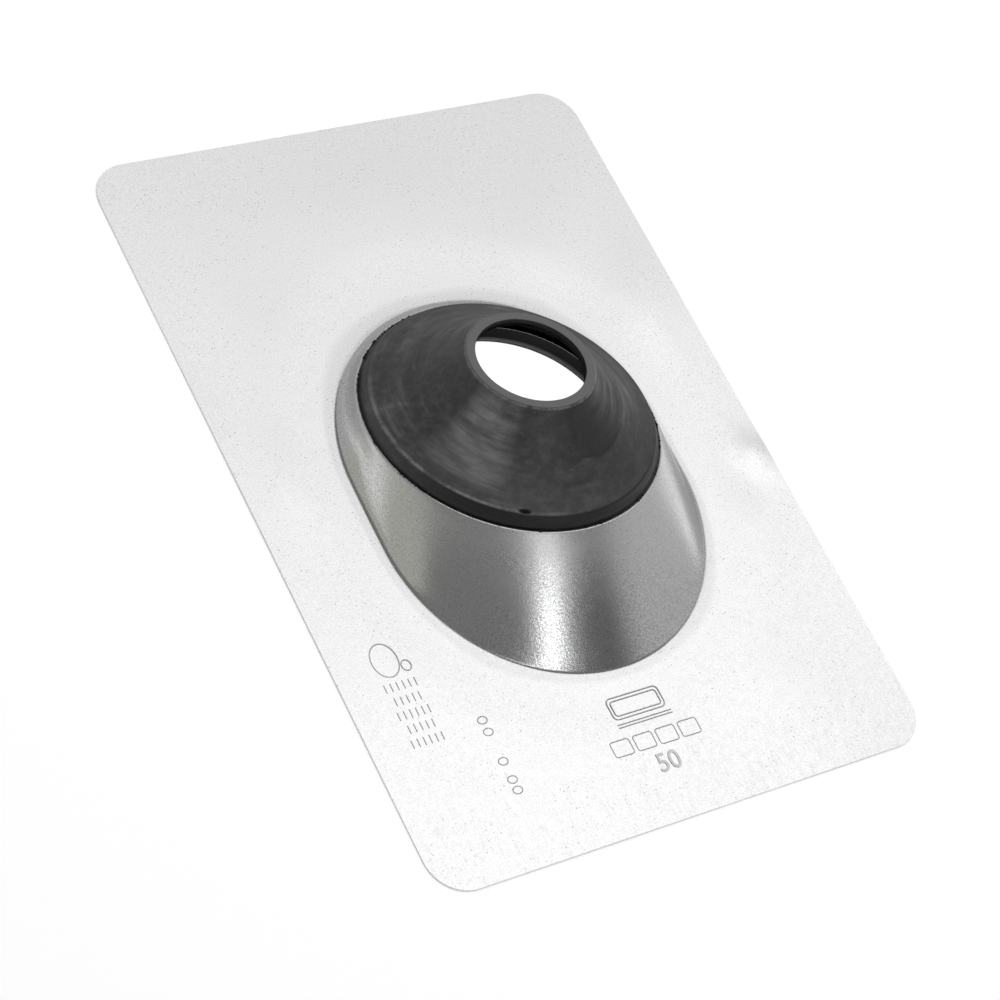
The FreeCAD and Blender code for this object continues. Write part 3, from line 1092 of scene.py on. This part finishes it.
def makeSizeMark(material):
    # the nominal bore in plain figures, made a mesh and then laid on the sheet
    text = bpy.data.curves.new("sizeMark", "FONT")
    text.body = marks["sizeText"]
    text.align_x = text.align_y = "CENTER"
    text.size = marks["textSize"]
    text.extrude = marks["textRise"]
    text.bevel_depth = marks["textBevel"]
    text.resolution_u = 4
    source = addObject("sizeMark", text)
    mesh = finishedMesh(source, "sizeMark")
    bpy.data.objects.remove(source)
    across, along = marks["sizePlace"]
    for vertex in mesh.vertices:
        x, y = vertex.co.x + across, vertex.co.y + along
        vertex.co = Vector((x, y, vertex.co.z + plateTop(x, y)))
    mesh.materials.clear()
    mesh.materials.append(material)
    return addObject("sizeMark", mesh)


pressedLook = dict(steelLook, colour=marks["colour"], plateRough=marks["rough"])
pressedSteel = makeSteel("pressedSteel", pressedLook)
markPiece = runTree(markMesh(*markLines()), makeLineTree(), {
    "Radius": marks["lineRadius"],
    "Height": marks["lineHeight"],
    "Material": pressedSteel,
}, "plateMarks")
for piece in (markPiece, makeSizeMark(pressedSteel)):
    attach(piece, "root")
print("plate marks made")

# --- floor, light and camera ---

studio = {
    "floorSize": 6.0,
    "floorColour": (0.90, 0.90, 0.90, 1),
    "floorRough": 0.9,
    "floorLift": 0.17,  # added for the camera and for reflections
    "holeReach": 63 * mm,  # of the part of the floor that shows through the pipe hole
    "holeBlend": 3 * mm,
    "lampPlace": (0.25, 0.2, 1.6),
    "lampSize": 1.8,
    "lampPower": 19.0,
    "least": 0.10,  # radiance of the darkest part of the dome
    "roof": 0.188,  # and of its upper part
    "horizon": 0.42,
    "horizonTop": 41.0,  # degrees
    "horizonBlend": 1.2,
    "warm": (1.0, 0.985, 0.915, 1),
    "warmPanel": (-100, 20, 30, 24, 6),
    "sensor": 36.0,
    "lens": 107.13,
    "clipStart": 0.01,
    "cameraPlace": (-0.61736, -0.41811, 0.88913),
    "cameraRight": (0.82317, -0.43677, 0.3628),
    "cameraUp": (0.21192, 0.82912, 0.51735),
}

# soft panels round the object: heading (0 towards -Y, 90 towards +X), height, half width,
# half height and edge softness in degrees, then radiance
panels = [
    (134, 60, 34, 24, 6, 0.66),
    (137, 64, 40, 14, 3, 0.27),
    (108, 58, 16, 16, 5, 0.36),
    (76, 18, 26, 24, 10, 0.06),
    (15, 54, 3.5, 20, 5.5, 3.9),
    (42, 36, 10, 12, 6, -0.30),
]
panelInputs = ("Heading", "Height", "Panel Heading", "Panel Height", "Half Width", "Half Height",
               "Softness")


def makeFloor():
    half = studio["floorSize"] / 2
    mesh = bpy.data.meshes.new("floor")
    corners = [(-half, -half, 0), (half, -half, 0), (half, half, 0), (-half, half, 0)]
    mesh.from_pydata(corners, [], [(0, 1, 2, 3)])
    floor = addObject("floor", mesh)
    material, tree, shader = newMaterial("paleFloor")
    feed(tree, shader, {
        "Base Color": studio["floorColour"],
        "Roughness": studio["floorRough"],
        "Specular IOR Level": 0.0,
    })
    rays = addNode(tree, "ShaderNodeLightPath")
    seen = mathNode(tree, "MAXIMUM", rays["Is Camera Ray"], rays["Is Glossy Ray"])
    seen = mathNode(tree, "MAXIMUM", seen, rays["Is Transmission Ray"])
    # under the boss the floor glows for the camera alone, so the open pipe hole shows white
    middle = stretch(tree, objectPlace(tree), shift=(0, -boot["shelfY"], 0))
    reach = vectorNode(tree, "LENGTH", middle)
    hole, blend = studio["holeReach"], studio["holeBlend"]
    under = ramp(tree, reach, hole + blend, hole - blend)
    lifted = times(tree, mathNode(tree, "SUBTRACT", 1.0, under), seen)
    glowing = times(tree, under, rays["Is Camera Ray"])
    strength = mixIn(tree, lifted, studio["floorLift"], glowing)
    glow = addNode(tree, "ShaderNodeEmission", {"Strength": strength})
    both = addNode(tree, "ShaderNodeAddShader", {0: shader.outputs[0], 1: glow[0]})
    feed(tree, tree.nodes["Material Output"], {"Surface": both[0]})
    mesh.materials.append(material)


def makePanelGroup():
    # 1 inside a soft-edged panel of the surroundings, 0 outside
    group, given, end = newGroup("softPanel", dict.fromkeys(panelInputs, 0.0))
    masks = []
    for name, target, half in (("Heading", "Panel Heading", "Half Width"),
                               ("Height", "Panel Height", "Half Height")):
        away = mathNode(group, "SUBTRACT", given[name], given[target])
        if name == "Heading":
            away = mathNode(group, "WRAP", away, 180.0, -180.0)
        away = mathNode(group, "ABSOLUTE", away)
        inside = mathNode(group, "SUBTRACT", given[half], given["Softness"])
        outside = mathNode(group, "ADD", given[half], given["Softness"])
        masks.append(ramp(group, away, outside, inside))
    feed(group, end, {"Mask": times(group, *masks)})
    return group


def panelMask(tree, group, heading, height, panel):
    return useGroup(tree, group, dict(zip(panelInputs, (heading, height, *panel))))["Mask"]


def makeWorld():
    world = bpy.data.worlds.new("studio")
    bpy.context.scene.world = world
    world.use_nodes = True
    tree = world.node_tree
    x, y, z = parted(tree, addNode(tree, "ShaderNodeTexCoord")["Generated"])
    degrees = 180 / math.pi
    heading = times(tree, mathNode(tree, "ARCTAN2", x, times(tree, y, -1.0)), degrees)
    height = times(tree, mathNode(tree, "ARCSINE", z), degrees)
    top, blend = studio["horizonTop"], studio["horizonBlend"]
    total = ramp(tree, height, top + blend, top - blend, studio["roof"], studio["horizon"])
    group = makePanelGroup()
    for *panel, radiance in panels:
        total = mixIn(tree, panelMask(tree, group, heading, height, panel), radiance, total)
    total = mathNode(tree, "MAXIMUM", total, studio["least"])
    # low on the left the room is a little warmer
    warm = panelMask(tree, group, heading, height, studio["warmPanel"])
    tint = blendColour(tree, warm, (1, 1, 1, 1), studio["warm"])
    # to the camera the backdrop is plain white
    seen = addNode(tree, "ShaderNodeLightPath")["Is Camera Ray"]
    feed(tree, tree.nodes["Background"], {
        "Strength": mathNode(tree, "MAXIMUM", total, seen),
        "Color": blendColour(tree, seen, tint, (1, 1, 1, 1)),
    })


def makeLamp():
    # a broad overhead lamp for the matt surfaces, kept out of the metal's reflections
    light = bpy.data.lights.new("overheadLamp", "AREA")
    light.shape = "SQUARE"
    light.size = studio["lampSize"]
    light.energy = studio["lampPower"]
    lamp = addObject("overheadLamp", light)
    place = Vector(studio["lampPlace"])
    lamp.location = place
    lamp.rotation_euler = (-place).to_track_quat("-Z", "Y").to_euler()
    lamp.visible_glossy = False


def makeCamera():
    data = bpy.data.cameras.new("camera")
    data.sensor_width = studio["sensor"]
    data.lens = studio["lens"]
    data.clip_start = studio["clipStart"]
    camera = addObject("camera", data)
    right, up = Vector(studio["cameraRight"]), Vector(studio["cameraUp"])
    turned = Matrix((right, up, right.cross(up))).transposed().to_4x4()
    camera.matrix_world = Matrix.Translation(studio["cameraPlace"]) @ turned
    bpy.context.scene.camera = camera


makeFloor()
makeWorld()
makeLamp()
makeCamera()
bpy.context.scene.view_settings.view_transform = "Standard"
print("studio made")
